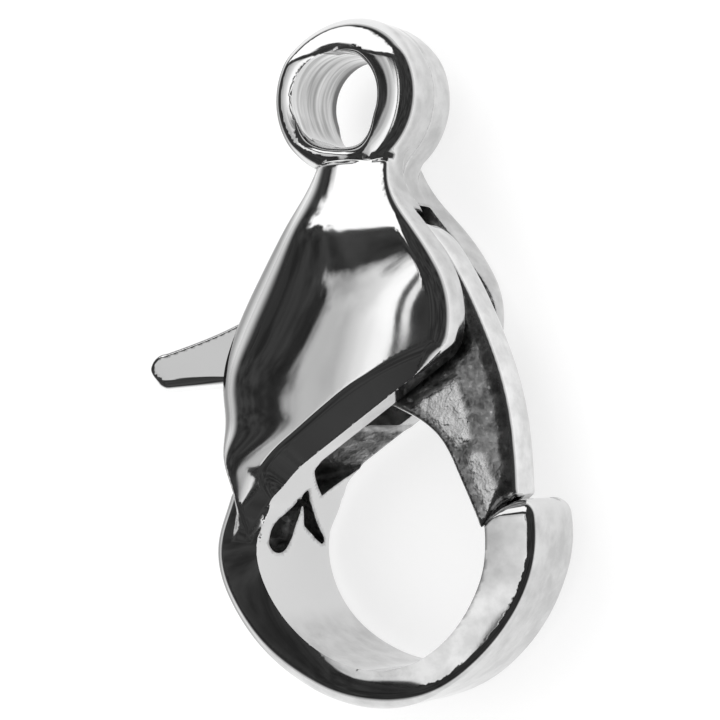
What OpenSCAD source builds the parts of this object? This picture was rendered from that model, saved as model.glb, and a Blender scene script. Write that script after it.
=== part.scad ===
// Lobster clasp, lying on its back: +Y runs to the ring, -X to the thumb tab, +Z to the front.
// The claw is one casting with a ring, two cheeks and a hook. A lever turns on a rivet in
// the slot between the cheeks, and its gate closes the hook.

/* [Ring] */
// Outer diameter of the ring
ring_d = 2.82; // [2.7:0.02:3.2]
// Diameter of the hole in the ring
ring_bore_d = 1.58; // [1.3:0.02:1.6]
// How far the hole lies left of the ring's middle
bore_shift = 0.22; // [0.1:0.02:0.24]
// Thickness of the ring along its hole
ring_t = 1.64; // [1.2:0.02:1.8]
// Radius of the ring's rounded edges
ring_edge_r = 0.18; // [0.08:0.02:0.18]

/* [Claw] */
// Overall length from the top of the ring to the bottom of the hook
clasp_l = 12; // [11:0.1:13]
// Width of the claw from its spine to the outside of the hook
claw_w = 6.2; // [5.8:0.02:6.6]
// Width of the cheeks from the spine to their right corner
cheek_w = 4.64; // [4.4:0.02:4.9]
// Thickness at the belly of the two cheeks
belly_t = 2.84; // [2.6:0.02:3.2]
// Height of the middle of the hook's bend above its lowest point
hook_drop = 3.1; // [2.9:0.05:3.3]
// Thickness of the hook where it leaves the cheeks
hook_t = 2.6; // [2.3:0.02:2.7]
// Thickness of the hook at its tip
tip_t = 1.7; // [1.5:0.02:2]
// Width of the hook's arm where it leaves the cheeks
arm_w = 1.1; // [1:0.02:1.2]
// Radius of the inside corner where the cheeks' lower edge meets the hook
corner_r = 2.2; // [1.6:0.1:2.4]
// Slope of the cheeks' lower edge, in degrees
edge_slope = 34.7; // [33:0.1:36]

/* [Lever] */
// Thickness of the lever
lever_t = 1; // [0.8:0.02:1.1]
// How far the thumb tab stands out of the spine
tab_out = 1.74; // [1.3:0.02:2]
// Width of the thumb tab at its round end
tab_w = 0.74; // [0.5:0.02:0.9]
// Angle that the lever turns through to open, in degrees
open_angle = 24; // [18:1:26]

/* [Rivet and clearances] */
// Diameter of the rivet
rivet_d = 0.8; // [0.6:0.02:1]
// Gap around the rivet in the cheeks
rivet_fit = 0.01; // [0.01:0.005:0.02]
// Running gap around the rivet in the lever
pivot_gap = 0.04; // [0.02:0.01:0.08]
// Depth of the rivet's ends below the belly
rivet_recess = 0.04; // [0.02:0.01:0.1]
// Gap between the lever and each cheek
side_gap = 0.1; // [0.06:0.01:0.16]
// Gap between the gate's end and the hook's tip
seat_gap = 0.04; // [0.02:0.01:0.08]
// Gap between the lever's edges and the slot's ends
end_gap = 0.12; // [0.08:0.01:0.2]

/* [Hidden] */

// Places, measured from the middle of the clasp's box
mid_z = belly_t / 2;
spine_x = tab_out - (claw_w + tab_out) / 2;
hook_r = claw_w / 2;
hook_x = spine_x + hook_r;
hook_y = hook_drop - clasp_l / 2;
ring_y = (clasp_l - ring_d) / 2;
rise = ring_y - hook_y;

// The ring's middle, the rivet, the cheeks' lower right corner and the tab, as shares of the
// cheek width from the spine and of the rise from the hook's middle
ring_across = 0.54;
pivot_across = 0.6;
pivot_up = 0.485;
corner_up = 0.395;
tab_up = 0.363;
ring_x = spine_x + ring_across * cheek_w;
bore_x = ring_x - bore_shift;
pivot = [spine_x + pivot_across * cheek_w, hook_y + pivot_up * rise];
slot_w = lever_t + 2 * side_gap;
through = 2 * belly_t;

// Cheek sections from the hook to the neck. Columns: place as a share of the rise from the
// hook's middle to the ring's, left and right edges as shares of the cheek width from the
// spine, crest and right rim as shares of half the belly
CHEEKS = [
    [-0.020, 0.035, 0.285, 0.850, 0.500],
    [0.050, 0.036, 0.420, 0.925, 0.720],
    [0.130, 0.032, 0.800, 0.960, 0.860],
    [0.275, 0.000, 0.955, 1.000, 0.850],
    [0.375, 0.004, 0.988, 1.000, 0.845],
    [0.430, 0.028, 1.012, 1.000, 0.850],
    [0.497, 0.070, 1.020, 1.000, 0.855],
    [0.590, 0.156, 0.982, 0.970, 0.880],
    [0.639, 0.208, 0.935, 0.940, 0.885],
    [0.710, 0.288, 0.845, 0.865, 0.825],
    [0.785, 0.370, 0.755, 0.700, 0.665],
    [0.857, 0.410, 0.720, 0.525, 0.515],
];
PLACE = 0;
LEFT = 1;
RIGHT = 2;
CREST = 3;
RIM = 4;
cheek_steps = 30;
// Height of the cheeks' left edge as a share of half the belly, and where the crest runs
edge_share = 0.3;
crest_at = 0.42;
crown_steps = 5;
roll_steps = 9;
roll_power = 2.3;

// Hook sections from the root round to the tip. Columns: angle about the hook's middle,
// outer radius as a share of the hook's, arm width as a share of the root's, and how much
// of the thickness lost between root and tip is gone
HOOK = [
    [162, 0.930, 0.60, 1.20],
    [174, 0.965, 1.07, 0.35],
    [184, 0.985, 1.10, 0.00],
    [194, 0.995, 1.05, 0.00],
    [207, 0.998, 0.97, 0.02],
    [224, 0.996, 0.86, 0.05],
    [240, 0.994, 0.78, 0.10],
    [256, 0.996, 0.70, 0.22],
    [270, 1.000, 0.62, 0.38],
    [286, 0.994, 0.56, 0.55],
    [300, 0.980, 0.54, 0.70],
    [312, 0.970, 0.57, 0.82],
    [328, 0.974, 0.66, 0.92],
    [344, 0.992, 0.76, 1.00],
    [354, 1.000, 0.82, 1.00],
    [360, 1.000, 0.80, 1.06],
    [372, 0.915, 0.50, 1.60],
];
OUTER = 1;
ARM = 2;
THINNED = 3;
hook_from = 162;
hook_to = 372;
hook_step = 6;
outer_power = 3.2;
inner_power = 3.6;
outer_part = 0.4;
arm_sides = 20;

// The gate's end: its inner tip and outer corner, as shares of the hook's radius from the
// hook's middle
gate_tip = [hook_x + 0.615 * hook_r, hook_y + 0.005 * hook_drop];
gate_corner = [hook_x + 0.839 * hook_r, hook_y + 0.19 * hook_drop];
reach = gate_tip - pivot;

// Gate edges from the hub, as shares of the reach from the rivet to the gate's tip
GATE_OUTER = [
    [0.30, -0.48], [0.47, -0.445], [0.62, -0.385], [0.736, -0.295], [0.905, -0.12],
    [1.03, 0.04], [1.15, 0.22], [1.235, 0.40], [1.29, 0.62],
];
GATE_INNER = [[0.90, 0.86], [0.79, 0.72], [0.67, 0.59], [0.50, 0.50], [0.30, 0.44], [0.06, 0.38]];

// Tab edges as shares of the distance from the rivet to the tab's end. The tab's end is a
// half circle
tab_end = [spine_x - tab_out + tab_w / 2, hook_y + tab_up * rise];
tab_reach = pivot - tab_end;
TAB_UNDER = [[0.38, 1.10], [0.55, 1.25], [0.72, 1.32]];
TAB_TOP = [[0.66, 0.10], [0.50, -0.25], [0.30, -0.95], [0.10, -1.70]];

// The value in a column of a table, on a smooth curve through its rows
function upto(rows, at) = len([for (r = rows) if (r[0] <= at) r]);
function cubic(a, b, c, d, t) =
    b + t / 2 * (c - a + t * (2 * a - 5 * b + 4 * c - d + t * (3 * b - a - 3 * c + d)));
function look_up(rows, at, column) =
    let (n = len(rows), i = max(1, min(n - 1, upto(rows, at))))
    let (t = (at - rows[i - 1][0]) / (rows[i][0] - rows[i - 1][0]))
    cubic(
        rows[max(0, i - 2)][column], rows[i - 1][column],
        rows[i][column], rows[min(n - 1, i + 1)][column], t
    );

// A smooth open curve through a few points
function curve(points, steps = 6) = [
    for (i = [0 : len(points) - 2], s = [0 : steps - 1])
        cubic(points[max(0, i - 1)], points[i], points[i + 1],
            points[min(len(points) - 1, i + 2)], s / steps),
    points[len(points) - 1],
];
function arc(centre, r, from, to, steps) = [
    for (s = [0 : steps]) centre + r * [cos(from + (to - from) * s / steps),
        sin(from + (to - from) * s / steps)],
];

// A closed solid through rings of points, each ring with as many
module loft(rings) {
    n = len(rings[0]);
    m = len(rings);
    sides = [
        for (i = [0 : m - 2], j = [0 : n - 1])
            each [
                [i * n + j, (i + 1) * n + j, (i + 1) * n + (j + 1) % n],
                [i * n + j, (i + 1) * n + (j + 1) % n, i * n + (j + 1) % n],
            ]
    ];
    first = [for (j = [0 : n - 1]) j];
    last = [for (j = [n - 1 : -1 : 0]) (m - 1) * n + j];
    polyhedron([for (ring = rings) each ring], concat(sides, [first, last]));
}

// One cross-section of the cheeks: the half in front of the middle plane from right to left
function cheek_half(left, right, crest, rim) =
    let (edge = edge_share * belly_t / 2, w = right - left)
    [
        for (s = [0 : crown_steps - 1])
            [right - crest_at * w * s / crown_steps,
                crest - (crest - rim) * pow(1 - s / crown_steps, 2)],
        for (s = [0 : roll_steps])
            let (turn = 90 * s / roll_steps)
            [right - w * (crest_at + (1 - crest_at) * pow(sin(turn), 2 / roll_power)),
                edge + (crest - edge) * pow(cos(turn), 2 / roll_power)],
    ];
function cheek_ring(place) =
    let (half = cheek_half(
        spine_x + look_up(CHEEKS, place, LEFT) * cheek_w,
        spine_x + look_up(CHEEKS, place, RIGHT) * cheek_w,
        min(1, look_up(CHEEKS, place, CREST)) * belly_t / 2,
        look_up(CHEEKS, place, RIM) * belly_t / 2))
    let (y = hook_y + place * rise, n = len(half))
    concat(
        [for (p = half) [p.x, y, p.y]],
        [for (i = [n - 1 : -1 : 0]) [half[i].x, y, -half[i].y]]
    );

module cheeks() {
    from = CHEEKS[0][PLACE];
    to = CHEEKS[len(CHEEKS) - 1][PLACE];
    difference() {
        loft([for (s = [cheek_steps : -1 : 0]) cheek_ring(from + (to - from) * s / cheek_steps)]);
        translate([0, 0, -through / 2])
            linear_extrude(through) polygon(below_cheeks());
    }
}

// The open side of the cheeks' lower edge, with the round inside corner to the hook
edge_top = [spine_x + cheek_w, hook_y + corner_up * rise];
root_w = 1.07 * arm_w;
root_x = spine_x + root_w;
function on_edge(x) = edge_top.y + (x - edge_top.x) * tan(edge_slope);
function below_cheeks() =
    let (centre = [root_x + corner_r, on_edge(root_x + corner_r) - corner_r / cos(edge_slope)])
    let (right = hook_x + 2 * hook_r, low = hook_y - hook_drop)
    concat(
        arc(centre, corner_r, 90 + edge_slope, 180, 8),
        [[root_x, low], [right, low], [right, on_edge(right)]]
    );

// One cross-section of the hook: rounded outside the bend and squarer inside it
function rounded(t, size, power) = size * sign(t) * pow(abs(t), 2 / power);
function hook_ring(angle) =
    let (outer = look_up(HOOK, angle, OUTER), w = look_up(HOOK, angle, ARM) * arm_w)
    let (t = hook_t + (tip_t - hook_t) * look_up(HOOK, angle, THINNED))
    [
        for (s = [0 : arm_sides - 1])
            let (turn = -360 * s / arm_sides, outside = cos(turn) > 0)
            let (power = outside ? outer_power : inner_power)
            let (part = outside ? outer_part : 1 - outer_part)
            let (across = rounded(cos(turn), part * w, power) - outer_part * w)
            [hook_x + (outer * hook_r + across) * cos(angle),
                hook_y + (outer * hook_drop + across) * sin(angle),
                rounded(sin(turn), t / 2, power)],
    ];

// The side of the gate's end that the hook's tip leaves free
function gate_side() =
    let (along = (gate_corner - gate_tip) / norm(gate_corner - gate_tip))
    let (out = seat_gap * [along.y, -along.x])
    let (low = gate_tip - arm_w * along + out, high = gate_corner + 2 * arm_w * along + out)
    [low, high, high + 3 * arm_w * [-along.y, along.x], low + 3 * arm_w * [-along.y, along.x]];

module hook() {
    difference() {
        loft([for (a = [hook_from : hook_step : hook_to]) hook_ring(a)]);
        translate([0, 0, -through / 2])
            linear_extrude(through) polygon(gate_side());
    }
}

// The slot for the lever: open to the right, and to the left where the tab swings. Its floor
// runs down behind the spine and ends above the hook's root
slot_top = norm([reach.x * GATE_OUTER[0].x, reach.y * GATE_OUTER[0].y]) + end_gap;
spine_t = 0.4 * arm_w;
tab_room = 3 * end_gap;
floor_low = 0.154 * rise;
inner_low = [-0.25 * arm_w, 0.274 * hook_drop];
mouth_low = [0.7 * arm_w, 0.194 * hook_drop];
mouth_out = [1.3 * arm_w, 0.25 * hook_drop];
function slot_outline() =
    let (left = spine_x - tab_out, right = edge_top.x + arm_w, floor_x = spine_x + spine_t)
    let (low = tab_end.y - tab_w / 2 - tab_room, root = [root_x, hook_y])
    concat(
        arc(pivot, slot_top, 20, 140, 15),
        [[left, pivot.y + (pivot.x - left) * tan(open_angle)], [left, low], [floor_x, low]],
        [[floor_x, hook_y + floor_low], root + inner_low, root + mouth_low, root + mouth_out],
        [[right, on_edge(right) - arm_w]]
    );

// The tapered pocket in the hook's root, seen through the eye below the slot
pocket_d = 0.9;
pocket_end_d = 0.5;
pocket_depth = 0.6;
pocket_z = 0.45;
pocket_y = 0.02 * hook_drop;
module pocket() {
    translate([root_x + pocket_depth / 2, hook_y + pocket_y, pocket_z])
        rotate([0, -90, 0])
            cylinder(h = 1.5 * pocket_depth, d1 = pocket_d, d2 = pocket_end_d, $fn = 36);
}

module claw() {
    color("silver")
        translate([0, 0, mid_z])
            difference() {
                union() {
                    translate([ring_x, ring_y, 0]) ring();
                    cheeks();
                    hook();
                }
                translate([bore_x, ring_y, 0]) ring_bore();
                translate([0, 0, -slot_w / 2]) linear_extrude(slot_w) polygon(slot_outline());
                pocket();
                translate([pivot.x, pivot.y, -through / 2])
                    cylinder(h = through, d = rivet_d + 2 * rivet_fit, $fn = 48);
            }
}

module ring() {
    outer = ring_d / 2 - ring_edge_r;
    lift = ring_t / 2 - ring_edge_r;
    rotate_extrude($fn = 96)
        polygon(concat(
            [[0, -ring_t / 2]],
            arc([outer, -lift], ring_edge_r, 270, 360, 5),
            arc([outer, lift], ring_edge_r, 0, 90, 5),
            [[0, ring_t / 2]]
        ));
}

// The hole through the ring, with rounded rims
module ring_bore() {
    rim = ring_bore_d / 2 + ring_edge_r;
    lift = ring_t / 2 - ring_edge_r;
    rotate_extrude($fn = 96)
        polygon(concat(
            [[0, -ring_t], [rim, -ring_t]],
            arc([rim, -lift], ring_edge_r, 270, 180, 5),
            arc([rim, lift], ring_edge_r, 180, 90, 5),
            [[rim, ring_t], [0, ring_t]]
        ));
}

// Points of the lever's edges, from shares of the reach to the gate or to the tab
function of_gate(shares) = [for (s = shares) pivot + [s.x * reach.x, s.y * reach.y]];
function of_tab(shares) = [for (s = shares) pivot - [s.x * tab_reach.x, s.y * tab_reach.y]];

module lever() {
    outer = curve(concat(of_gate(GATE_OUTER), [gate_corner]));
    inner = curve(concat([gate_tip], of_gate(GATE_INNER), of_tab(TAB_UNDER),
        [tab_end - [0, tab_w / 2]]));
    top = curve(concat([tab_end + [0, tab_w / 2]], of_tab(TAB_TOP), [outer[0]]));
    color("gainsboro")
        translate([0, 0, mid_z - lever_t / 2])
            difference() {
                linear_extrude(lever_t)
                    polygon(concat(outer, inner, arc(tab_end, tab_w / 2, 270, 90, 8), top));
                translate([pivot.x, pivot.y, -lever_t])
                    cylinder(h = 3 * lever_t, d = rivet_d + 2 * pivot_gap, $fn = 48);
            }
}

module rivet() {
    color("darkgray")
        translate([pivot.x, pivot.y, rivet_recess])
            cylinder(h = belly_t - 2 * rivet_recess, d = rivet_d, $fn = 48);
}

claw();
lever();
rivet();
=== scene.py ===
"""Lobster clasp lying on its back on a pale floor.

Lengths in the tables and fields are in millimetres, measured from the middle plane of the
clasp. They are turned to metres when a mesh is made.
"""
import math

import bpy
import numpy as np
from mathutils import Matrix, Vector


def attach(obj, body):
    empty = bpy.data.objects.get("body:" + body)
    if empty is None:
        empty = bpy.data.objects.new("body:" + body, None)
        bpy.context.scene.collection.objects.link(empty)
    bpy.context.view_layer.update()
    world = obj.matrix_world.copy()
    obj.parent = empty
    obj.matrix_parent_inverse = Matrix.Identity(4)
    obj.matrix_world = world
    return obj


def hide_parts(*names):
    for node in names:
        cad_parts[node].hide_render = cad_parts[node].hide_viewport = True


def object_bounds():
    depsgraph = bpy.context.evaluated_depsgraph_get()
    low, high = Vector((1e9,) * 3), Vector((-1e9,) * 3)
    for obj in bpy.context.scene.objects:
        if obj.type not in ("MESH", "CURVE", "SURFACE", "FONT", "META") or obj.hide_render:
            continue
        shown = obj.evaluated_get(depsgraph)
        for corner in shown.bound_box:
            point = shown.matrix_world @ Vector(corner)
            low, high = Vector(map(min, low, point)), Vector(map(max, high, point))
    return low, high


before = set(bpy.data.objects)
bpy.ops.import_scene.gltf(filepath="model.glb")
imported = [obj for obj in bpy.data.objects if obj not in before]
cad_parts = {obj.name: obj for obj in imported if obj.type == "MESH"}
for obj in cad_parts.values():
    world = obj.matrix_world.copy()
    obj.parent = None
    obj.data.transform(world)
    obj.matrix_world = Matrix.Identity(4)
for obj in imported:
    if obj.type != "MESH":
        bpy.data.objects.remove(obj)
CAD_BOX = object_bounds()

MM = 0.001

# Named sizes, as in the part's source
RING_D, BORE_D, BORE_SHIFT, RING_T = 2.82, 1.58, 0.22, 1.64
CLASP_L, CLAW_W, CHEEK_W, BELLY_T = 12.0, 6.2, 4.64, 2.84
HOOK_DROP, HOOK_T, TIP_T, ARM_W = 3.1, 2.6, 1.7, 1.1
CORNER_R, EDGE_SLOPE = 2.2, math.radians(34.7)
LEVER_T, TAB_OUT, TAB_W = 1.0, 1.74, 0.74
RIVET_D, SIDE_GAP, SEAT_GAP, END_GAP = 0.8, 0.1, 0.04, 0.12
OPEN_ANGLE = math.radians(24)

# The ring's middle, the rivet, the cheeks' lower right corner and the tab, as shares of the
# cheek width from the spine and of the rise from the hook's middle
RING_ACROSS, PIVOT_ACROSS, PIVOT_UP, CORNER_UP, TAB_UP = 0.54, 0.6, 0.485, 0.395, 0.363

MID_Z = BELLY_T / 2
SPINE_X = TAB_OUT - (CLAW_W + TAB_OUT) / 2
HOOK_R = CLAW_W / 2
HOOK_X = SPINE_X + HOOK_R
HOOK_Y = HOOK_DROP - CLASP_L / 2
RING_Y = (CLASP_L - RING_D) / 2
RISE = RING_Y - HOOK_Y
RING_X = SPINE_X + RING_ACROSS * CHEEK_W
BORE_X = RING_X - BORE_SHIFT
PIVOT = np.array([SPINE_X + PIVOT_ACROSS * CHEEK_W, HOOK_Y + PIVOT_UP * RISE])
TAB_END = np.array([SPINE_X - TAB_OUT + TAB_W / 2, HOOK_Y + TAB_UP * RISE])
SLOT_HALF = LEVER_T / 2 + SIDE_GAP

# The gate's end: its inner tip and outer corner, as shares of the hook's radius and of its
# drop from the hook's middle
GATE_TIP = np.array([HOOK_X + 0.615 * HOOK_R, HOOK_Y + 0.005 * HOOK_DROP])
GATE_CORNER = np.array([HOOK_X + 0.839 * HOOK_R, HOOK_Y + 0.19 * HOOK_DROP])
SEAT_ALONG = (GATE_CORNER - GATE_TIP) / np.linalg.norm(GATE_CORNER - GATE_TIP)
SEAT_OUT = np.array([SEAT_ALONG[1], -SEAT_ALONG[0]])

# Gate edges from the hub, as shares of the reach from the rivet to the gate's tip
REACH = np.array([2.223, -3.632])
GATE_OUTER = [[0.30, -0.48], [0.47, -0.445], [0.62, -0.385], [0.736, -0.295], [0.905, -0.12],
              [1.03, 0.04], [1.15, 0.22], [1.235, 0.40], [1.29, 0.62]]
GATE_INNER = [[0.90, 0.86], [0.79, 0.72], [0.67, 0.59], [0.50, 0.50], [0.30, 0.44], [0.06, 0.38]]

# Tab edges as shares of the distance from the rivet to the tab's end
TAB_REACH = PIVOT - TAB_END
TAB_UNDER = [[0.38, 1.10], [0.55, 1.25], [0.72, 1.32]]
TAB_TOP = [[0.66, 0.10], [0.50, -0.25], [0.30, -0.95], [0.10, -1.70]]


# Curves and flat fields

class Column:
    """A natural cubic spline through one column of a table, held level beyond its ends."""

    def __init__(self, at, value):
        self.at, self.value = np.array(at, float), np.array(value, float)
        n, h = len(at), np.diff(self.at)
        a, b = np.eye(n), np.zeros(n)
        for i in range(1, n - 1):
            a[i, i - 1:i + 2] = h[i - 1], 2 * (h[i - 1] + h[i]), h[i]
            rise = np.diff(self.value[i - 1:i + 2]) / h[i - 1:i + 1]
            b[i] = 6 * (rise[1] - rise[0])
        self.bend = np.linalg.solve(a, b)

    def __call__(self, t):
        t = np.clip(t, self.at[0], self.at[-1])
        i = np.clip(np.searchsorted(self.at, t) - 1, 0, len(self.at) - 2)
        x0, x1 = self.at[i], self.at[i + 1]
        h, a, b = x1 - x0, x1 - t, t - x0
        m0, m1 = self.bend[i], self.bend[i + 1]
        return ((m0 * a ** 3 + m1 * b ** 3) / (6 * h)
                + (self.value[i] / h - m0 * h / 6) * a
                + (self.value[i + 1] / h - m1 * h / 6) * b)


def smooth_line(points, count=24):
    """A smooth open curve through a few points."""
    points = np.array(points, float)
    at = np.concatenate([[0], np.cumsum(np.linalg.norm(np.diff(points, axis=0), axis=1))])
    x, y = Column(at, points[:, 0]), Column(at, points[:, 1])
    t = np.linspace(0, at[-1], count * (len(points) - 1) + 1)
    return np.stack([x(t), y(t)], 1)


def arc(centre, r, start, end, count=24):
    t = np.radians(np.linspace(start, end, count + 1))
    return np.stack([centre[0] + r * np.cos(t), centre[1] + r * np.sin(t)], 1)


def outline_distance(points, x, y):
    """Signed distance to a closed outline, below 0 inside it."""
    a = np.array(points, float)
    b = np.roll(a, -1, 0)
    far, inside = np.full(x.shape, 1e9), np.zeros(x.shape, bool)
    for (ax, ay), (bx, by) in zip(a, b):
        ex, ey = bx - ax, by - ay
        size = ex * ex + ey * ey
        if size < 1e-14:
            continue
        t = np.clip(((x - ax) * ex + (y - ay) * ey) / size, 0, 1)
        np.minimum(far, (x - ax - t * ex) ** 2 + (y - ay - t * ey) ** 2, out=far)
        if ay != by:
            crossed = (ay > y) != (by > y)
            inside ^= crossed & (x < ax + (y - ay) * ex / (by - ay))
    return np.where(inside, -1, 1) * np.sqrt(far)


# A grid that reaches a little past the clasp on every side
GRID_STEP = 0.03
GRID_LO = np.array([-4.6, -6.6])
GRID_N = (306, 440)


class Flat:
    """A flat field kept on a fine grid and read back as a smooth surface."""

    def __init__(self, values):
        self.values = values

    @classmethod
    def of(cls, points):
        gx = GRID_LO[0] + GRID_STEP * np.arange(GRID_N[0])
        gy = GRID_LO[1] + GRID_STEP * np.arange(GRID_N[1])
        return cls(outline_distance(points, *np.meshgrid(gx, gy, indexing="ij")))

    def __call__(self, x, y):
        x, y = np.broadcast_arrays(x, y)
        u = np.clip((x - GRID_LO[0]) / GRID_STEP, 1, GRID_N[0] - 3)
        v = np.clip((y - GRID_LO[1]) / GRID_STEP, 1, GRID_N[1] - 3)
        i, j = np.floor(u).astype(int), np.floor(v).astype(int)
        total = np.zeros(x.shape)
        wu, wv = self.weights(u - i), self.weights(v - j)
        for a in range(4):
            for b in range(4):
                total += wu[a] * wv[b] * self.values[i + a - 1, j + b - 1]
        return total

    @staticmethod
    def weights(t):
        return ((1 - t) ** 3 / 6, (3 * t ** 3 - 6 * t ** 2 + 4) / 6,
                (-3 * t ** 3 + 3 * t ** 2 + 3 * t + 1) / 6, t ** 3 / 6)


def join(a, b, k):
    """Both solids, with a soft fillet of size k where they meet."""
    h = np.clip(0.5 + 0.5 * (b - a) / k, 0, 1)
    return b * (1 - h) + a * h - k * h * (1 - h)


def common(a, b, r):
    """What two solids share, with the edge rounded to radius r."""
    u, v = a + r, b + r
    return np.hypot(np.maximum(u, 0), np.maximum(v, 0)) + np.minimum(np.maximum(u, v), 0) - r


def ease(t, a, b):
    """0 below a and 1 above b, with a smooth rise between."""
    t = np.clip((t - a) / (b - a), 0, 1)
    return t * t * (3 - 2 * t)


# The claw

# Cheek sections from the hook to the neck. Columns: place as a share of the rise from the
# hook's middle to the ring's, left and right edges as shares of the cheek width from the
# spine, crest and right rim as shares of half the belly
CHEEKS = np.array([
    [-0.060, 0.060, 0.340, 0.945, 0.800],
    [0.050, 0.122, 0.520, 0.960, 0.850],
    [0.130, 0.073, 0.780, 0.975, 0.870],
    [0.275, 0.007, 0.960, 0.995, 0.850],
    [0.375, 0.004, 1.000, 1.000, 0.838],
    [0.430, 0.026, 1.025, 1.000, 0.838],
    [0.497, 0.070, 1.033, 1.000, 0.845],
    [0.590, 0.156, 0.994, 0.972, 0.895],
    [0.639, 0.208, 0.946, 0.940, 0.900],
    [0.710, 0.288, 0.855, 0.865, 0.840],
    [0.785, 0.368, 0.764, 0.705, 0.685],
    [0.857, 0.410, 0.730, 0.530, 0.525],
])
left_of, right_of, crest_of, rim_of = (Column(CHEEKS[:, 0], CHEEKS[:, i]) for i in (1, 2, 3, 4))
# Half the thickness at the left edge, and where the crest runs across the cheek
EDGE_HALF = 0.30 * MID_Z
CREST_AT = 0.42
# The dome's roundness across the cheek: squarest at the root
DOME = np.array([
    [-0.06, 18.0], [0.05, 16.0], [0.12, 10.5], [0.175, 5.4], [0.30, 2.65], [0.45, 2.15],
    [0.65, 2.3], [0.78, 3.0], [0.86, 3.4],
])
dome_power = Column(DOME[:, 0], DOME[:, 1])

# The bevel along the cheeks' lower edge meets the dome on a line through this point
BEVEL_Z, BEVEL_DROP, BEVEL_TILT = 1.365, 0.015, math.radians(14)
BEVEL_AT, BEVEL_LINE = (-0.67, -1.99), math.radians(39.2)
# The cheeks slope down to the lower left where they run out on the hook
SHOULDER_Z, SHOULDER_SLOPE, SHOULDER_AT = 1.29, 0.30, (-1.60, -2.64)
# The lower edge is chamfered, less near the root
CHAMFER_Z, CHAMFER_W, CHAMFER_SLOPE, CHAMFER_LOSS = 1.36, 0.38, 0.60, 0.40
# The back of the right edge is cut in, and the outer edges are rolled over
UNDERCUT, UNDERCUT_Z = 0.17, 1.3
SIDE_ROLL, LOW_ROLL, BELLY_ROLL, LEFT_ROLL = 0.10, 0.01, 0.24, 0.16
CHEEK_SEAM, RING_SEAM, SEAM_HALF = 0.015, 0.018, 0.03

# Beyond the clasp on any side
FAR = 9
ROOT_X = SPINE_X + 0.97 * ARM_W


def edge_line(x):
    top = (SPINE_X + CHEEK_W, HOOK_Y + CORNER_UP * RISE)
    return top[1] + (x - top[0]) * math.tan(EDGE_SLOPE)


def lower_outline():
    """The open side of the cheeks' lower edge, round into the hook."""
    centre = (ROOT_X + CORNER_R,
              edge_line(ROOT_X + CORNER_R) - CORNER_R / math.cos(EDGE_SLOPE))
    bend = arc(centre, CORNER_R, 90 + math.degrees(EDGE_SLOPE), 180)
    return np.concatenate([bend, [[ROOT_X, -FAR], [FAR, -FAR], [FAR, edge_line(FAR)]]])


# The slot's round upper end about the rivet, and the shape of its floor above the hook's root
SLOT_ARC, SLOT_ROOM = (20, 140), 0.10
SLOT_RIGHT, FLOOR_X, FLOOR_Y = 3.6, SPINE_X + 0.4 * ARM_W, -1.55
SLOT_FLOOR = [[-0.95, -1.62], [-0.42, -1.66], [-0.16, -1.80], [0.0, -2.1]]


def slot_outline():
    r = float(np.hypot(*(GATE_OUTER[0] * REACH))) + END_GAP + SLOT_ROOM
    left = SPINE_X - TAB_OUT
    low = TAB_END[1] - TAB_W / 2 - 3 * END_GAP
    return np.concatenate([
        arc(PIVOT, r, *SLOT_ARC),
        [[left, PIVOT[1] + (PIVOT[0] - left) * math.tan(OPEN_ANGLE)], [left, low],
         [FLOOR_X, low], [FLOOR_X, FLOOR_Y]],
        SLOT_FLOOR,
        [[SLOT_RIGHT, edge_line(SLOT_RIGHT) - ARM_W]],
    ])


# The pocket in the hook's root: a bulb with a narrow neck, and a crack beside it.
# Each is a taper between two points of a line, with a radius at each point, and is as many
# times deeper along X
POCKET = [
    ((-1.00, -2.34, 0.16), (-1.30, -2.95, 0.50), 0.13, 0.47, 0.9),
    ((-1.10, -2.36, 0.16), (-1.24, -2.82, -0.30), 0.12, 0.15, 3.0),
    ((-1.24, -2.82, -0.30), (-1.28, -3.24, -1.02), 0.15, 0.07, 3.5),
]


def taper_field(x, y, z, a, b, ra, rb, deep):
    """A rounded taper from point a to point b."""
    a, b = np.array(a), np.array(b)
    line = b - a
    t = ((y - a[1]) * line[1] + (z - a[2]) * line[2]) / (line[1] ** 2 + line[2] ** 2)
    t = np.clip(t, 0, 1)
    gone = np.sqrt(((x - a[0] - t * line[0]) / deep) ** 2 + (y - a[1] - t * line[1]) ** 2
                   + (z - a[2] - t * line[2]) ** 2)
    return gone - ra - (rb - ra) * t


# The back cheek's lower edge is cut back on a slope: its direction and depth, the front and
# the top that it reaches, and its lower end, which is lowest at one height
FLARE_ACROSS, FLARE_BACK, FLARE_DEPTH = 0.774, 0.633, 1.16
FLARE_FRONT_Z, FLARE_TOP_Y, FLARE_LOW_Y, FLARE_LOW_Z = 0.55, -1.15, -2.40, -0.47


def flare_field(x, y, z):
    """The cut towards the slot in the back cheek's lower edge."""
    out = (math.sin(EDGE_SLOPE), -math.cos(EDGE_SLOPE))
    past = (x - ROOT_X) * out[0] + (y - edge_line(ROOT_X)) * out[1]
    cut = -(FLARE_ACROSS * past + FLARE_BACK * (z + FLARE_DEPTH))
    low = (FLARE_LOW_Y + 0.5 * np.maximum(z - FLARE_LOW_Z, 0)
           + 0.7 * np.maximum(FLARE_LOW_Z - z, 0))
    ends = common(y - FLARE_TOP_Y, low - y, 0.2)
    return common(common(cut, z - FLARE_FRONT_Z, 0.1), ends, 0.12)


def side_outline(share_of, side):
    """All that lies right (side 1) or left (side -1) of one of the cheeks' side edges."""
    place = np.linspace(-0.25, 1.0, 160)
    edge = np.stack([SPINE_X + share_of(place) * CHEEK_W, HOOK_Y + place * RISE], 1)
    return np.concatenate([edge, [[FAR * side, edge[-1, 1]], [FAR * side, edge[0, 1]]]])


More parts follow.
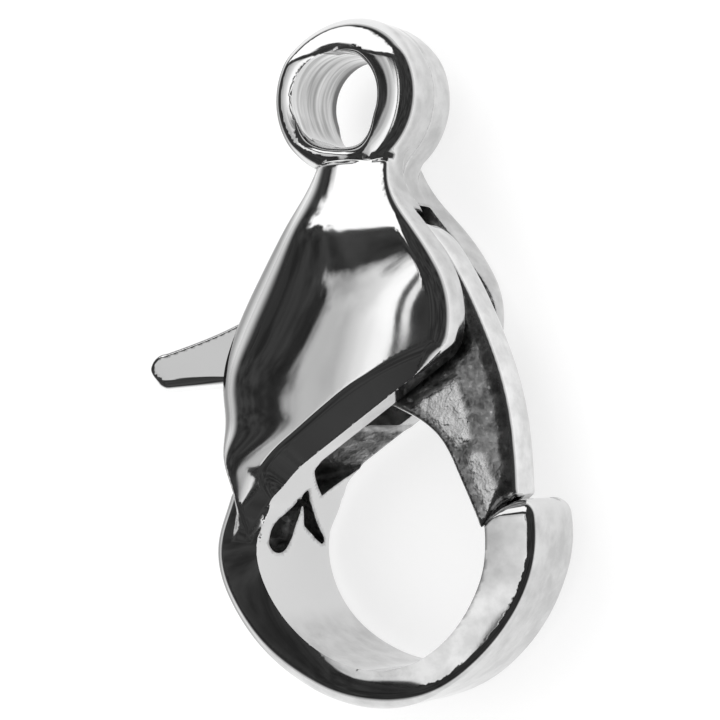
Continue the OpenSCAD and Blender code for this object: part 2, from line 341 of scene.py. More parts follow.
LEFT_FLAT = Flat.of(side_outline(left_of, 1))
RIGHT_FLAT = Flat.of(side_outline(right_of, -1))
LOWER_FLAT = Flat.of(lower_outline())
SLOT_FLAT = Flat.of(slot_outline())

# Hook sections from the root round to the tip. Columns: angle about the hook's middle, outer
# radius as a share of the hook's, arm width as a share of the root's, how much of the
# thickness lost between root and tip is gone, how far the face falls and curves towards its
# outer edge as shares of half the thickness, and that edge's radius
HOOK = np.array([
    [150, 0.880, 0.80, 0.60, 0.14, 0.03, 0.26],
    [166, 0.905, 0.92, 0.30, 0.17, 0.03, 0.26],
    [174, 0.935, 0.97, 0.18, 0.18, 0.03, 0.26],
    [184, 0.990, 0.99, 0.08, 0.17, 0.03, 0.26],
    [194, 1.016, 0.97, 0.08, 0.16, 0.03, 0.26],
    [207, 1.014, 0.91, 0.18, 0.15, 0.04, 0.27],
    [224, 1.006, 0.84, 0.30, 0.13, 0.07, 0.29],
    [240, 0.998, 0.77, 0.34, 0.06, 0.13, 0.32],
    [256, 0.996, 0.70, 0.32, -0.04, 0.18, 0.34],
    [270, 1.000, 0.64, 0.37, -0.05, 0.17, 0.34],
    [286, 0.992, 0.58, 0.47, -0.03, 0.08, 0.26],
    [300, 0.978, 0.56, 0.58, -0.01, 0.01, 0.16],
    [312, 0.970, 0.58, 0.70, 0.00, 0.01, 0.14],
    [328, 0.974, 0.66, 0.86, 0.00, 0.03, 0.13],
    [344, 0.990, 0.76, 1.00, 0.00, 0.03, 0.13],
    [354, 0.999, 0.82, 1.00, 0.00, 0.03, 0.14],
    [362, 0.998, 0.84, 1.00, 0.00, 0.03, 0.16],
    [380, 0.985, 0.84, 1.00, 0.00, 0.03, 0.20],
])
(outer_of, arm_of, thin_of, fall_of, crown_of, round_of) = (
    Column(HOOK[:, 0], HOOK[:, i]) for i in range(1, 7))
# The hook's inner edge is all but sharp
INNER_EDGE_R = 0.004
# Where the hook starts and ends, in degrees, and how softly, in mm for each degree
HOOK_START, HOOK_END, END_SLOPE = 164, 371, 0.05
# The hook's face rises above its middle, where it meets the cheeks
ROOT_RISE = 0.20


def bevel_place(x, y):
    """Distances along the bevel's upper line, above 0 to the right, and across it, above 0
    on the dome's side."""
    dx, dy = x - BEVEL_AT[0], y - BEVEL_AT[1]
    c, n = math.cos(BEVEL_LINE), math.sin(BEVEL_LINE)
    return dx * c + dy * n, dy * c - dx * n


def mould_seam(z, depth):
    """A fine groove along the middle plane, where the halves of the mould met."""
    return depth * np.exp(-(z / SEAM_HALF) ** 2)


# The ring's face curves across its rim. It leans back at the top of the ring, and on the
# left at its bottom, past these heights from the ring's middle
FACE_R, FACE_W = 1.0, 0.9
LEAN_TOP_Y, LEAN_TOP = 0.70, 0.31
LEAN_FOOT_Y, LEAN_FOOT = -0.82, 0.27
RING_EDGE_R = 0.20
BORE_EDGE_R, BORE_RIGHT_R, BORE_LOW_R = 0.004, 0.17, 0.24


def past_bore(x, y):
    """Distance outside the wall of the ring's hole."""
    return np.hypot(x - BORE_X, y - RING_Y) - BORE_D / 2


def ring_field(x, y, z):
    r = np.hypot(x - RING_X, y - RING_Y)
    outside, inside = RING_D / 2 - r, past_bore(x, y)
    width = np.maximum(outside + inside, 0.2)
    t = np.clip((inside - outside) / width, -1, 1)
    lean = LEAN_TOP * join(y - RING_Y - LEAN_TOP_Y, 0 * y, -0.10)
    fall = np.minimum(width, FACE_W) ** 2 / (8 * FACE_R) * t ** 2 + lean
    foot = join(RING_Y + LEAN_FOOT_Y - y, 0 * y, -0.08)
    fall = fall + LEAN_FOOT * foot * (1 - ease(x - RING_X, 0, 0.6))
    disc = common(-outside, np.abs(z) - RING_T / 2 + fall, RING_EDGE_R)
    seam = mould_seam(z, RING_SEAM) * ease(x - RING_X, 0.2, 0.9)
    return common(disc + seam, -inside, bore_edge(x, y))


def bore_edge(x, y):
    """The hole's rims are sharp at its left and top, and roundest at its bottom."""
    r = np.maximum(np.hypot(x - BORE_X, y - RING_Y), 0.3)
    right, low = (x - BORE_X) / r, (RING_Y - y) / r
    return (BORE_EDGE_R + BORE_RIGHT_R * ease(right, -0.1, 0.6)
            + BORE_LOW_R * ease(low, 0.35, 0.9))


def cheek_height(x, y, place, left, right):
    """The height of the cheek's face above the middle plane, and its slope to the left."""
    crest, rim = crest_of(place) * MID_Z, rim_of(place) * MID_Z
    top = right - CREST_AT * (right - left)
    s = np.clip((top - x) / (top - left), 0, 0.985)
    t = np.clip((x - top) / (right - top), 0, 1.3)
    power = dome_power(place)
    dome = EDGE_HALF + (crest - EDGE_HALF) * (1 - s ** power) ** (1 / power)
    height = dome - (crest - rim) * t ** 2
    past, side = bevel_place(x, y)
    crest_line = BEVEL_Z + BEVEL_DROP * join(past, 0 * past, 0.3)
    height = join(height, crest_line + math.tan(BEVEL_TILT) * side, 0.02)
    shoulder = (SHOULDER_Z + SHOULDER_SLOPE * (x - SHOULDER_AT[0])
                + SHOULDER_SLOPE * (y - SHOULDER_AT[1]))
    height = join(height, shoulder, 0.02)
    chamfer = CHAMFER_SLOPE - CHAMFER_LOSS * ease(-past, 0.10, 0.45)
    height = join(height, CHAMFER_Z - chamfer * (CHAMFER_W - LOWER_FLAT(x, y)), 0.05)
    slope = (crest - EDGE_HALF) / (top - left) * s / np.sqrt(np.maximum(1 - s * s, 0.03))
    return height, slope


def cheek_field(x, y, z):
    place = (y - HOOK_Y) / RISE
    left = SPINE_X + left_of(place) * CHEEK_W
    right = SPINE_X + right_of(place) * CHEEK_W
    height, slope = cheek_height(x, y, place, left, right)
    face = (np.abs(z) - height) / np.sqrt(1 + slope ** 2)
    seam = mould_seam(z, CHEEK_SEAM) * ease(place, 0.70, 0.78)
    undercut = UNDERCUT * ease(place, 0.50, 0.62) * np.clip((UNDERCUT_Z + z) / 0.7, 0, 1)
    undercut = undercut * (z < 0.3)
    right_side, low_side = RIGHT_FLAT(x, y) + seam + undercut, -LOWER_FLAT(x, y)
    sides = common(right_side, low_side, 0.12)
    roll = SIDE_ROLL + BELLY_ROLL * (1 - ease(place, 0.60, 0.80))
    roll = roll + (LOW_ROLL - roll) * ease(low_side - right_side, -0.1, 0.5)
    body = common(face, sides, roll)
    body = common(body, LEFT_FLAT(x, y), LEFT_ROLL)
    return common(body, np.maximum(HOOK_Y - 0.3 - y, y - RING_Y + 1.12), 0.1)


def hook_field(x, y, z):
    px, py = x - HOOK_X, y - HOOK_Y
    r = np.hypot(px, py)
    angle = np.degrees(np.arctan2(py, px)) % 360
    angle = np.where(angle < 90, angle + 360, angle)
    outer = outer_of(angle) * HOOK_R
    width = arm_of(angle) * ARM_W
    half = (HOOK_T + (TIP_T - HOOK_T) * thin_of(angle)) / 2
    s = np.clip((r - outer + width) / width, -0.2, 1.2)
    height = half * (1 - fall_of(angle) * s - crown_of(angle) * s * np.abs(s))
    height = height - ROOT_RISE * join(HOOK_Y - y, 0 * y, 0.3) * ease(-x, 0, 0.6)
    slope = half * (fall_of(angle) + 2 * crown_of(angle) * s) / width
    face = (np.abs(z) - height) / np.sqrt(1 + slope ** 2)
    bar = common(face, r - outer, round_of(angle))
    bar = common(bar, outer - width - r, INNER_EDGE_R)
    ends = np.maximum(HOOK_START - angle, angle - HOOK_END) * END_SLOPE
    return common(bar, ends, 0.3)


def seat_field(x, y):
    """Above 0 on the side of the seat that the gate's end takes."""
    dx, dy = x - GATE_TIP[0], y - GATE_TIP[1]
    return SEAT_GAP - (dx * SEAT_OUT[0] + dy * SEAT_OUT[1])


def claw_field(x, y, z):
    hook = hook_field(x, y, z)
    near_tip = (x > 1.6) & (y > -4.4)
    hook = np.where(near_tip, common(hook, seat_field(x, y), 0.1), hook)
    body = join(cheek_field(x, y, z), hook, 0.05)
    fillet = 0.05 + 0.30 * ease(x - RING_X, 0.3, 0.7) * (1 - ease(np.abs(z), 0.5, 0.8))
    body = join(body, ring_field(x, y, z), fillet)
    slot = np.maximum(SLOT_FLAT(x, y), np.abs(z) - SLOT_HALF)
    body = common(body, -slot, 0.02)
    body = common(body, -flare_field(x, y, z), 0.03)
    for taper in POCKET:
        body = common(body, -taper_field(x, y, z, *taper), 0.02)
    return common(body, -past_bore(x, y), bore_edge(x, y))


# The lever

def of_gate(shares):
    return [PIVOT + np.array(s) * REACH for s in shares]


def of_tab(shares):
    return [PIVOT - np.array(s) * TAB_REACH for s in shares]


def lever_outline():
    outer = smooth_line(of_gate(GATE_OUTER) + [GATE_CORNER], 12)
    inner = smooth_line([GATE_TIP] + of_gate(GATE_INNER) + of_tab(TAB_UNDER)
                        + [TAB_END - [0, TAB_W / 2]], 12)
    top = smooth_line([TAB_END + [0, TAB_W / 2]] + of_tab(TAB_TOP) + [outer[0]], 12)
    end = arc(TAB_END, TAB_W / 2, 270, 90, 16)
    return np.concatenate([outer, inner, end, top])


def gate_edge():
    """All that lies inside the gate's outer edge alone."""
    outer = smooth_line(of_gate(GATE_OUTER) + [GATE_CORNER, GATE_CORNER + [0.1, -0.6]], 12)
    return np.concatenate([outer, [[GATE_CORNER[0], -FAR], [-FAR, -FAR], [-FAR, outer[0][1]]]])


LEVER_FLAT = Flat.of(lever_outline())
GATE_FLAT = Flat.of(gate_edge())

# Two lighter patches on the lever's cast face, each with a groove round it: one by its
# corners, and one by its middle, its half width and length, and its turn
CORNER_PATCH = [(1.62, -0.78), (2.30, -0.42), (2.52, -0.95), (2.58, -1.38), (2.34, -1.48)]
CORNER_FLAT = Flat.of(CORNER_PATCH)
CORNER_MARGIN = 0.06
LONG_PATCH = ((2.86, -2.10), (0.20, 0.56), math.radians(21))
GROOVE, GROOVE_HALF, DISH = 0.008, 0.05, 0.02
# The gate's outer edge is rounded broadly, the tab's underside less, the other edges a little
LEVER_EDGE_R, GATE_EDGE_R, TAB_EDGE_R = 0.09, 0.25, 0.17
# The lever's gap round the rivet
RUN_GAP = 0.03


def long_patch(x, y):
    (mx, my), (half_w, half_l), a = LONG_PATCH
    u = (x - mx) * math.cos(a) + (y - my) * math.sin(a)
    v = -(x - mx) * math.sin(a) + (y - my) * math.cos(a)
    return common(np.abs(u) - half_w, np.abs(v) - half_l, half_w * 0.9)


def patch_field(x, y):
    return np.minimum(CORNER_FLAT(x, y) - CORNER_MARGIN, long_patch(x, y))


def lever_field(x, y, z):
    flat = LEVER_FLAT(x, y)
    gate = GATE_FLAT(x, y)
    on_gate = ease(x, 0.9, 1.5)
    patch = patch_field(x, y)
    dish = on_gate * (GROOVE * np.exp(-(patch / GROOVE_HALF) ** 2)
                      + DISH * ease(patch, 0, 0.10) * ease(-flat, 0.08, 0.2))
    face = np.abs(z) - LEVER_T / 2 + dish
    r = (LEVER_EDGE_R + GATE_EDGE_R * on_gate * (1 - ease(-gate, 0.3, 0.7))
         + TAB_EDGE_R * ease(-x, 1.4, 2.0) * ease(TAB_END[1] - y, -0.1, 0.2))
    body = common(face, flat, r)
    hole = np.hypot(x - PIVOT[0], y - PIVOT[1]) - RIVET_D / 2 - RUN_GAP
    return common(body, -hole, 0.04)


# Meshing

# How firmly a vertex is held to the middle of its cell's crossings
FIRM = 0.02
# The turn between two faces above which an edge is shaded as sharp
SHARP_TURN = math.radians(16)


def surface(field, lo, hi, step):
    """Vertices and quads on the field's zero level, with the sharp edges kept."""
    axes = [np.arange(lo[i], hi[i] + step, step) for i in range(3)]
    values = field(axes[0][:, None, None], axes[1][None, :, None], axes[2][None, None, :])
    values = np.broadcast_to(values, [len(a) for a in axes])
    inside = values < 0
    cells = tuple(n - 1 for n in values.shape)
    count = sum(inside[a:a + cells[0], b:b + cells[1], c:c + cells[2]].astype(np.int8)
                for a in (0, 1) for b in (0, 1) for c in (0, 1))
    mixed = (count > 0) & (count < 8)
    index = np.full(cells, -1)
    index[mixed] = np.arange(mixed.sum())
    start = np.array([a[0] for a in axes])
    points = cell_points(field, values, np.stack(np.nonzero(mixed), 1), start, step)
    return settle(field, points, step), cell_quads(inside, index)


def cell_points(field, values, cells, start, step):
    """For each cell, the point nearest to the tangent planes where its edges cross the
    surface, which falls on a sharp edge where there is one."""
    middle, hits = np.zeros((len(cells), 3)), np.zeros(len(cells))
    pull, aim = np.zeros((len(cells), 3, 3)), np.zeros((len(cells), 3))
    for axis in range(3):
        u, v = [a for a in range(3) if a != axis]
        for du in (0, 1):
            for dv in (0, 1):
                one = np.zeros(3, int)
                one[u], one[v] = du, dv
                other = one.copy()
                other[axis] = 1
                a = values[tuple((cells + one).T)]
                b = values[tuple((cells + other).T)]
                at = np.nonzero((a < 0) != (b < 0))[0]
                place = cells[at] + one.astype(float)
                place[:, axis] += a[at] / (a[at] - b[at])
                place = place * step + start
                way = slope_at(field, place)
                size = np.maximum(np.linalg.norm(way, axis=1), 1e-9)
                off = field(*place.T) / size
                way /= size[:, None]
                place = place - way * np.clip(off, -0.3 * step, 0.3 * step)[:, None]
                middle[at] += place
                hits[at] += 1
                pull[at] += way[:, :, None] * way[:, None, :]
                aim[at] += way * (way * place).sum(1)[:, None]
    middle /= hits[:, None]
    points = np.linalg.solve(pull + FIRM * np.eye(3), (aim + FIRM * middle)[:, :, None])[:, :, 0]
    corner = cells * step + start
    return np.clip(points, corner - 0.2 * step, corner + 1.2 * step)


def cell_quads(inside, index):
    """A quad round each grid edge that crosses the surface, turned to face outwards."""
    quads = []
    for axis in range(3):
        u, v = (axis + 1) % 3, (axis + 2) % 3
        span = [slice(1, n - 1) for n in inside.shape]
        span[axis] = slice(0, inside.shape[axis] - 1)
        here = inside[tuple(span)]
        ahead = list(span)
        ahead[axis] = slice(1, inside.shape[axis])
        where = np.argwhere(here != inside[tuple(ahead)])
        flip = here[tuple(where.T)]
        base = where + [s.start for s in span]
        around = []
        for du, dv in ((-1, -1), (0, -1), (0, 0), (-1, 0)):
            c = base.copy()
            c[:, u] += du
            c[:, v] += dv
            around.append(index[tuple(c.T)])
        quad = np.stack(around, 1)
        quad[~flip] = quad[~flip][:, ::-1]
        quads.append(quad)
    quads = np.concatenate(quads)
    return quads[(quads >= 0).all(1)]


def slope_at(field, points, reach=0.006):
    """The field's slope at each point, by central differences."""
    slope = np.empty_like(points)
    for i in range(3):
        shift = np.zeros(3)
        shift[i] = reach
        slope[:, i] = (field(*(points + shift).T) - field(*(points - shift).T)) / (2 * reach)
    return slope


def settle(field, points, step):
    """Moves the points onto the surface, by half a step at most each time."""
    for _ in range(2):
        slope = slope_at(field, points)
        move = -(field(*points.T) / np.maximum((slope ** 2).sum(1), 0.04))[:, None] * slope
        far = np.linalg.norm(move, axis=1, keepdims=True)
        points = points + move * np.minimum(1, 0.5 * step / np.maximum(far, 1e-12))
    return points


def corner_normals(field, points, quads, normal):
    """The vertices' normals, but beside a sharp edge those of each face's own side."""
    faces = points[quads]
    inner = faces + 0.6 * (faces.mean(1, keepdims=True) - faces)
    own = slope_at(field, inner.reshape(-1, 3), 0.003)
    own /= np.maximum(np.linalg.norm(own, axis=1, keepdims=True), 1e-9)
    shared = normal[quads.ravel()]
    apart = (own * shared).sum(1, keepdims=True) < math.cos(SHARP_TURN)
    return np.where(apart, own, shared)


def make_piece(name, field, lo, hi, step, masks):
    """A mesh of the field, with its true normals and a named layer of values for each mask."""
    points, quads = surface(field, lo, hi, step)
    normal = slope_at(field, points)
    normal /= np.linalg.norm(normal, axis=1, keepdims=True)
    mesh = bpy.data.meshes.new(name)
    mesh.vertices.add(len(points))
    mesh.vertices.foreach_set("co", ((points + [0, 0, MID_Z]) * MM).ravel())
    mesh.loops.add(quads.size)
    mesh.loops.foreach_set("vertex_index", quads.ravel().astype(np.int32))
    mesh.polygons.add(len(quads))
    mesh.polygons.foreach_set("loop_start", np.arange(0, quads.size, 4, dtype=np.int32))
    mesh.polygons.foreach_set("loop_total", np.full(len(quads), 4, np.int32))
    mesh.update(calc_edges=True)
    mesh.validate()
    mesh.shade_smooth()
    mesh.normals_split_custom_set(corner_normals(field, points, quads, normal))
    for title, mask in masks.items():
        layer = mesh.attributes.new(title, "FLOAT", "POINT")
        layer.data.foreach_set("value", mask(points, normal).astype(np.float32))
    piece = bpy.data.objects.new(name, mesh)
    bpy.context.scene.collection.objects.link(piece)
    return piece


def claw_cast_and_shade(points, normal):
    """1 on the rough inner faces of the slot, coloured darker as painted shade, 0 on the polished
    outside.
    """
    x, y, z = points.T
    slot = np.maximum(SLOT_FLAT(x, y), np.abs(z) - SLOT_HALF)
    cut = np.minimum(np.abs(slot), np.abs(flare_field(x, y, z)))
    for taper in POCKET:
        cut = np.minimum(cut, np.abs(taper_field(x, y, z, *taper)))
    return 1 - ease(cut, 0.01, 0.05)


def claw_wall_shade(points, normal):
    """1 on the outer walls on the right and the hook's far arm, which are coloured darker and
    mottled as painted shade.
    """
    x, y, z = points.T
    wall = ease(normal[:, 0], 0.3, 0.6) * ease(0.6 - np.abs(normal[:, 2]), 0, 0.3)
    arm = np.maximum(ease(x, 1.4, 2.0), ease(-y, 4.3, 4.9)) * ease(-y, 2.3, 2.8)
    return np.maximum(wall * ease(y, -1.6, -1.0), arm)


def claw_edge_shade(points, normal):
    """1 on the steep left edges and the hole's back rim, which are coloured much darker as painted
    shade.
    """
    x, y, z = points.T
    hole = 1 - ease(past_bore(x, y), 0.02, 0.10)
    steep = ease(-normal[:, 0], 0.38, 0.60)
    return np.maximum(steep * (1 - hole), hole * ease(-z, 0.60, 0.68))


def claw_turned(points, normal):
    """1 on the wall of the ring's hole."""
    return 1 - ease(past_bore(points[:, 0], points[:, 1]), 0.02, 0.08)


def lever_cast_and_shade(points, normal):
    """1 on the gate's rough flat faces, coloured darker as painted shade, 0 on the polished edges
    and the tab.
    """
    return ease(np.abs(normal[:, 2]), 0.70, 0.90) * ease(points[:, 0], 0.2, 1.0)


def lever_wall_shade(points, normal):
    """1 on the gate's outer edge, which is coloured darker and mottled as painted shade."""
    return ease(normal[:, 0], 0.3, 0.6) * ease(0.7 - np.abs(normal[:, 2]), 0, 0.3)


def lever_worn_sheen(points, normal):
    """1 on the two patches of the gate's face, which are smoother and coloured lighter as a
    painted reflection.
    """
    return 1 - ease(patch_field(points[:, 0], points[:, 1]), -0.09, 0.04)


# The size of the meshes' cells
STEP = 0.053
# The claw's layers mark the rough casting and the right walls, both darker as painted shade, the
# left edges and the hole's back rim, much darker as painted shade, and the hole's turned wall
claw = make_piece("claw_body", claw_field, (-2.7, -6.2, -1.6), (4.2, 6.2, 1.6), STEP,
                  {"cast_and_shade": claw_cast_and_shade, "wall_shade": claw_wall_shade, "edge": claw_edge_shade,
                   "turned": claw_turned})
# The lever's layers mark the gate's rough face and its outer edge, both darker as painted shade,
# and the two patches, smoother with a painted reflection
lever = make_piece("lever_body", lever_field, (-4.2, -3.4, -0.7), (3.8, 3.1, 0.7), STEP,
                   {"cast_and_shade": lever_cast_and_shade, "wall_shade": lever_wall_shade, "worn_sheen": lever_worn_sheen})
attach(claw, "claw")
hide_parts("claw")
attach(lever, "lever")
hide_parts("lever")


# Materials

def noise(tree, place, scale, detail=4.0, rough=0.55):
    made = tree.nodes.new("ShaderNodeTexNoise")
    made.inputs["Scale"].default_value = scale
    made.inputs["Detail"].default_value = detail
    made.inputs["Roughness"].default_value = rough
    tree.links.new(place, made.inputs["Vector"])
    return made.outputs["Fac"]


def layer(tree, name):
    """A mesh's named layer of values."""
    made = tree.nodes.new("ShaderNodeAttribute")
    made.attribute_name = name
    return made.outputs["Fac"]


def spread(tree, value, low, high, to_low, to_high):
    made = tree.nodes.new("ShaderNodeMapRange")
    tree.links.new(value, made.inputs["Value"])
    for key, number in zip(("From Min", "From Max", "To Min", "To Max"),
                           (low, high, to_low, to_high)):
        made.inputs[key].default_value = number
    return made.outputs["Result"]


def blend_value(tree, share, a, b):
    made = tree.nodes.new("ShaderNodeMix")
    made.data_type = "FLOAT"
    tree.links.new(share, made.inputs["Factor"])
    for socket, value in zip((made.inputs[2], made.inputs[3]), (a, b)):
        if isinstance(value, (int, float)):
            socket.default_value = value
        else:
            tree.links.new(value, socket)
    return made.outputs[0]


def blend_colour(tree, share):
    made = tree.nodes.new("ShaderNodeMix")
    made.data_type = "RGBA"
    tree.links.new(share, made.inputs["Factor"])
    return made


def grey(value):
    return value, value, value, 1


def cast_shade_colour(tree, place, dark, light):
    """Mottled grey, dark as painted shade, with a few light dots painted as glints, and paler on
    the two smoother patches as a painted reflection.
    """
    pits = noise(tree, place, 3200, 3, 0.6)
    shade = spread(tree, pits, 0.38, 0.62, 0.0, 1.0)
    # painted reflection: on the two patches the colour is lifted past the light end
    shade = blend_value(tree, layer(tree, "worn_sheen"), shade, spread(tree, pits, 0.30, 0.70, 1.1, 1.7))
    lift = tree.nodes.new("ShaderNodeMath")
    lift.operation = "MAXIMUM"
    tree.links.new(shade, lift.inputs[0])
    # painted glints: a few light dots, reaching past the light end of the cast colour
    glint_dots = spread(tree, noise(tree, place, 5200, 1.0), 0.67, 0.74, 0.0, 1.6)
    tree.links.new(glint_dots, lift.inputs[1])
    colour = blend_colour(tree, lift.outputs[0])
    colour.clamp_factor = False
    colour.inputs[6].default_value = grey(dark)
    colour.inputs[7].default_value = grey(light)
    return colour.outputs[2]


def plating_colour(tree, place, tone):
    """The polished tone, darker and mottled on the right walls and much darker on the steep left
    edges and the hole's back rim, both painted shade, with turned lines in the hole.
    """
    lines = tree.nodes.new("ShaderNodeMapping")
    lines.inputs["Scale"].default_value = (0.25, 0.25, 3.0)
    tree.links.new(place, lines.inputs["Vector"])
    ringed = spread(tree, noise(tree, lines.outputs[0], 1800, 3), 0.38, 0.62, tone * 0.55,
                    tone * 1.1)
    # painted shade: the right walls are darkened to between 0.68 and 0.86 of the tone, mottled
    wall_shaded = spread(tree, noise(tree, place, 2600, 4), 0.35, 0.65, tone * 0.68, tone * 0.86)
    wall = blend_value(tree, layer(tree, "wall_shade"), tone, wall_shaded)
    wall = blend_value(tree, layer(tree, "turned"), wall, ringed)
    # painted shade: the steep left edges and the hole's back rim are darkened to 0.22 of the tone
    return blend_value(tree, layer(tree, "edge"), wall, tone * 0.22)


def metal_roughness(tree, place):
    """A faint haze on the plating, and a grainy casting that is smoother where worn."""
    haze = spread(tree, noise(tree, place, 900, 3), 0.35, 0.65, 0.035, 0.09)
    grain = spread(tree, noise(tree, place, 9000, 5, 0.7), 0.3, 0.7, 0.24, 0.46)
    casting = blend_value(tree, layer(tree, "worn_sheen"), grain, 0.22)
    return blend_value(tree, layer(tree, "cast_and_shade"), haze, casting)


def metal_bumps(tree, place):
    """Fine wear all over, and the casting's grain and pits."""
    fine = tree.nodes.new("ShaderNodeBump")
    fine.inputs["Strength"].default_value = 0.05
    fine.inputs["Distance"].default_value = 0.00001
    tree.links.new(noise(tree, place, 2600, 4), fine.inputs["Height"])
    coarse = tree.nodes.new("ShaderNodeBump")
    coarse.inputs["Distance"].default_value = 0.00003
    share = layer(tree, "cast_and_shade")
    grain, pits = noise(tree, place, 9000, 5, 0.7), noise(tree, place, 3200, 3, 0.6)
    tree.links.new(blend_value(tree, share, 0.0, 0.9), coarse.inputs["Strength"])
    tree.links.new(blend_value(tree, share, grain, pits), coarse.inputs["Height"])
    tree.links.new(fine.outputs[0], coarse.inputs["Normal"])
    return coarse.outputs[0]


def plated_metal(name, tone, cast_shade_dark=0.50, cast_shade_light=0.86):
    """Polished plating with a faint haze and fine wear, and rough where the casting shows."""
    mat = bpy.data.materials.new(name)
    mat.use_nodes = True
    tree = mat.node_tree
    tree.nodes.clear()
    out = tree.nodes.new("ShaderNodeOutputMaterial")
    shader = tree.nodes.new("ShaderNodeBsdfPrincipled")
    tree.links.new(shader.outputs[0], out.inputs[0])
    shader.inputs["Metallic"].default_value = 1.0
    place = tree.nodes.new("ShaderNodeTexCoord").outputs["Object"]
    final = blend_colour(tree, layer(tree, "cast_and_shade"))
    tree.links.new(plating_colour(tree, place, tone), final.inputs[6])
    casting = cast_shade_colour(tree, place, tone * cast_shade_dark, tone * cast_shade_light)
    tree.links.new(casting, final.inputs[7])
    tree.links.new(final.outputs[2], shader.inputs["Base Color"])
    tree.links.new(metal_roughness(tree, place), shader.inputs["Roughness"])
    tree.links.new(metal_bumps(tree, place), shader.inputs["Normal"])
    return mat


# The cast faces' dark colours are painted shade: in the claw's slot and pocket, and on the lever's
# gate
claw.data.materials.append(plated_metal("polished_plating", 0.74, 0.34, 0.74))
lever.data.materials.append(plated_metal("cast_plating_shaded", 0.88, 0.22, 0.60))
rivet = bpy.data.objects["rivet"]
rivet.data.materials.clear()
rivet.data.materials.append(plated_metal("rivet_plating", 0.74))


# Floor, light and camera

# In metres
FLOOR_HALF, FLOOR_GAP = 0.5, 0.00001
FLOOR_TONE, FLOOR_GLOW = 0.45, 0.63

floor_mesh = bpy.data.meshes.new("floor")
floor_mesh.from_pydata([(-FLOOR_HALF, -FLOOR_HALF, 0), (FLOOR_HALF, -FLOOR_HALF, 0),
                        (FLOOR_HALF, FLOOR_HALF, 0), (-FLOOR_HALF, FLOOR_HALF, 0)],
                       [], [(0, 1, 2, 3)])
floor = bpy.data.objects.new("floor", floor_mesh)
bpy.context.scene.collection.objects.link(floor)
floor_mat = bpy.data.materials.new("floor_white")
floor_mat.use_nodes = True
floor_shader = floor_mat.node_tree.nodes["Principled BSDF"]
floor_shader.inputs["Base Color"].default_value = grey(FLOOR_TONE)
floor_shader.inputs["Emission Color"].default_value = (1, 1, 1, 1)
floor_shader.inputs["Emission Strength"].default_value = FLOOR_GLOW
floor_shader.inputs["Roughness"].default_value = 0.9
floor_shader.inputs["Specular IOR Level"].default_value = 0.1
floor_mesh.materials.append(floor_mat)
floor.location.z = CAD_BOX[0][2] - FLOOR_GAP

# The camera looks down from the right. Its lens gives this many pixels for each mm at the
# clasp, on a picture of this width
SENSOR_W, PHOTO_SCALE, PHOTO_W, AWAY_MM = 36, 56.7, 720, 40
YAW, PITCH = math.radians(29), math.radians(-1.7)
TARGET = Vector((0.2 * MM, 0.01 * MM, MID_Z * MM))
back = Vector((math.sin(YAW) * math.cos(PITCH), math.sin(PITCH), math.cos(YAW) * math.cos(PITCH)))
right = Vector((0, 1, 0)).cross(back).normalized()
above = back.cross(right)
cam_data = bpy.data.cameras.new("camera")
cam_data.sensor_width = SENSOR_W
cam_data.lens = SENSOR_W * PHOTO_SCALE * AWAY_MM / PHOTO_W
cam_data.clip_start = 0.001
camera = bpy.data.objects.new("camera", cam_data)
bpy.context.scene.collection.objects.link(camera)
camera.matrix_world = Matrix((
    (right.x, above.x, back.x, 0), (right.y, above.y, back.y, 0),
    (right.z, above.z, back.z, 0), (0, 0, 0, 1)))
camera.location = TARGET + AWAY_MM * MM * back
bpy.context.scene.camera = camera


# One broad soft light lies level above the clasp, and doesn't show in its reflections
FILL_POWER, FILL_SIZE, FILL_UP = 3.7, 1.0, 0.3
fill_data = bpy.data.lights.new("fill", "AREA")
fill_data.shape = "RECTANGLE"
fill_data.size, fill_data.size_y = FILL_SIZE, FILL_SIZE
fill_data.energy = FILL_POWER
fill = bpy.data.objects.new("fill", fill_data)
fill.location = TARGET + Vector((0, 0, FILL_UP))
fill.visible_glossy = False
bpy.context.scene.collection.objects.link(fill)

world = bpy.data.worlds.new("studio")
bpy.context.scene.world = world
world.use_nodes = True
tree = world.node_tree
tree.nodes.clear()
out = tree.nodes.new("ShaderNodeOutputWorld")
sky = tree.nodes.new("ShaderNodeBackground")
tree.links.new(sky.outputs[0], out.inputs[0])


class Value:
    """A number in the world's node tree, with plain arithmetic."""

    def __init__(self, socket):
        self.socket = socket

    @staticmethod
    def do(operation, *given):
        made = tree.nodes.new("ShaderNodeMath")
        made.operation = operation
        for slot, value in zip(made.inputs, given):
            if isinstance(value, Value):
                tree.links.new(value.socket, slot)
            else:
                slot.default_value = value
        return Value(made.outputs[0])

    def __add__(self, other):
        return Value.do("ADD", self, other)

    def __sub__(self, other):
        return Value.do("SUBTRACT", self, other)

    def __mul__(self, other):
        return Value.do("MULTIPLY", self, other)

    def rise(self, start, end, low=0.0, high=1.0):
        """Smoothly from low to high as this goes from start to end."""
        made = tree.nodes.new("ShaderNodeMapRange")
        made.interpolation_type = "SMOOTHSTEP"
        tree.links.new(self.socket, made.inputs["Value"])
        for key, number in zip(("From Min", "From Max", "To Min", "To Max"),
                               (start, end, low, high)):
            made.inputs[key].default_value = number
        return Value(made.outputs["Result"])


def within(value, start, end, soft_start, soft_end):
    """1 between start and end, 0 beyond them, with an edge of its own softness at each."""
    return value.rise(start - soft_start, start + soft_start) * value.rise(
        end - soft_end, end + soft_end, 1, 0)


way = tree.nodes.new("ShaderNodeTexCoord").outputs["Generated"]
parts = tree.nodes.new("ShaderNodeSeparateXYZ")
tree.links.new(way, parts.inputs[0])
wx, wy, wz = (Value(parts.outputs[i]) for i in range(3))
DEG = 180 / math.pi
# Across: degrees from straight above towards -X. Along: degrees up towards +Y
across = Value.do("ARCTAN2", wx * -1, wz) * DEG
along = Value.do("ARCSINE", wy) * DEG


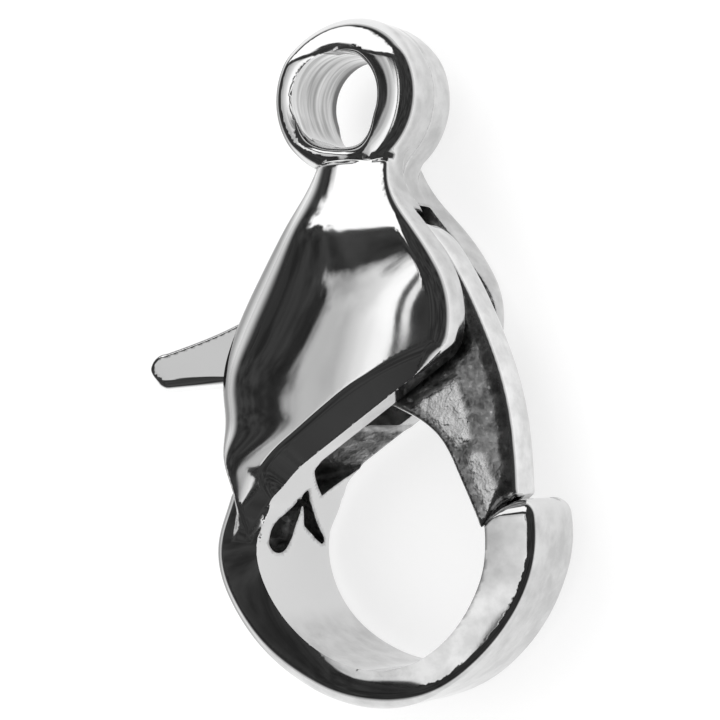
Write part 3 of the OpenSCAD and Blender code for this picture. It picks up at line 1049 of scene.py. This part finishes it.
def cloud(size, detail=3.0):
    """A soft noise over the directions, from -1 to 1."""
    made = tree.nodes.new("ShaderNodeTexNoise")
    made.inputs["Scale"].default_value = size
    made.inputs["Detail"].default_value = detail
    tree.links.new(way, made.inputs["Vector"])
    return Value(made.outputs["Fac"]).rise(0.3, 0.7, -1, 1)


# The studio, as the plating reflects it: a dark room, a pale band near the floor and three
# soft boxes with uneven edges. The boxes' edges are in degrees
SIDE_FROM, SIDE_TO, SIDE_TOP = 14.3, 38.5, 12.5
SIDE_BRIGHT, SIDE_DIM = 1.5, 0.62
STRIP_FROM, STRIP_TO, STRIP_BOTTOM, STRIP_TOP, STRIP_BRIGHT = 10.2, 12.4, -2, 14, 1.3
TOP_FROM, TOP_TO, TOP_BRIGHT = 5, 56, 1.7
ROOM_TONE, ROOM_DARKEST, BAND_BRIGHT, BACK_BRIGHT = 0.055, 0.012, 0.9, 0.34

lumps = cloud(5) * 2.5 + cloud(16) * 1.2
a_side = across + lumps * across.rise(18, 34)
b_side = along + cloud(7) * 2.0
side_low = Value.do("MAXIMUM", across - 25, 0.0) * 0.4
side_box = within(a_side, SIDE_FROM, SIDE_TO, 0.5, 2.2) * within(
    b_side, -60, SIDE_TOP, 1.0, 2.0) * (b_side - side_low).rise(-11.5, -8.5)
side_glow = across.rise(15, 33, SIDE_BRIGHT, SIDE_DIM) + cloud(9) * 0.10
strip_box = within(across, STRIP_FROM, STRIP_TO, 0.3, 0.3) * within(
    along, STRIP_BOTTOM, STRIP_TOP, 2, 3)
top_low = across.rise(10, 50, 27.5, 24.0)
top_box = within(across + lumps, TOP_FROM, TOP_TO, 3, 3) * (b_side - top_low).rise(
    -0.8, 0.8) * b_side.rise(50, 58, 1, 0)
back_glow = across.rise(72, 105, 0, BACK_BRIGHT)
streaks = cloud(9, 4) * 0.025 + cloud(40, 3) * 0.006
room = Value.do("MAXIMUM", streaks + ROOM_TONE, ROOM_DARKEST) + back_glow
low_band = wz.rise(0.06, 0.30, BAND_BRIGHT, 0.0)
total = (room + low_band + side_box * side_glow + strip_box * STRIP_BRIGHT
         + top_box * TOP_BRIGHT)
tree.links.new(total.socket, sky.inputs["Strength"])

scene = bpy.context.scene
scene.view_settings.view_transform = "Standard"
scene.view_settings.look = "None"
scene.view_settings.exposure = 0
scene.view_settings.gamma = 1
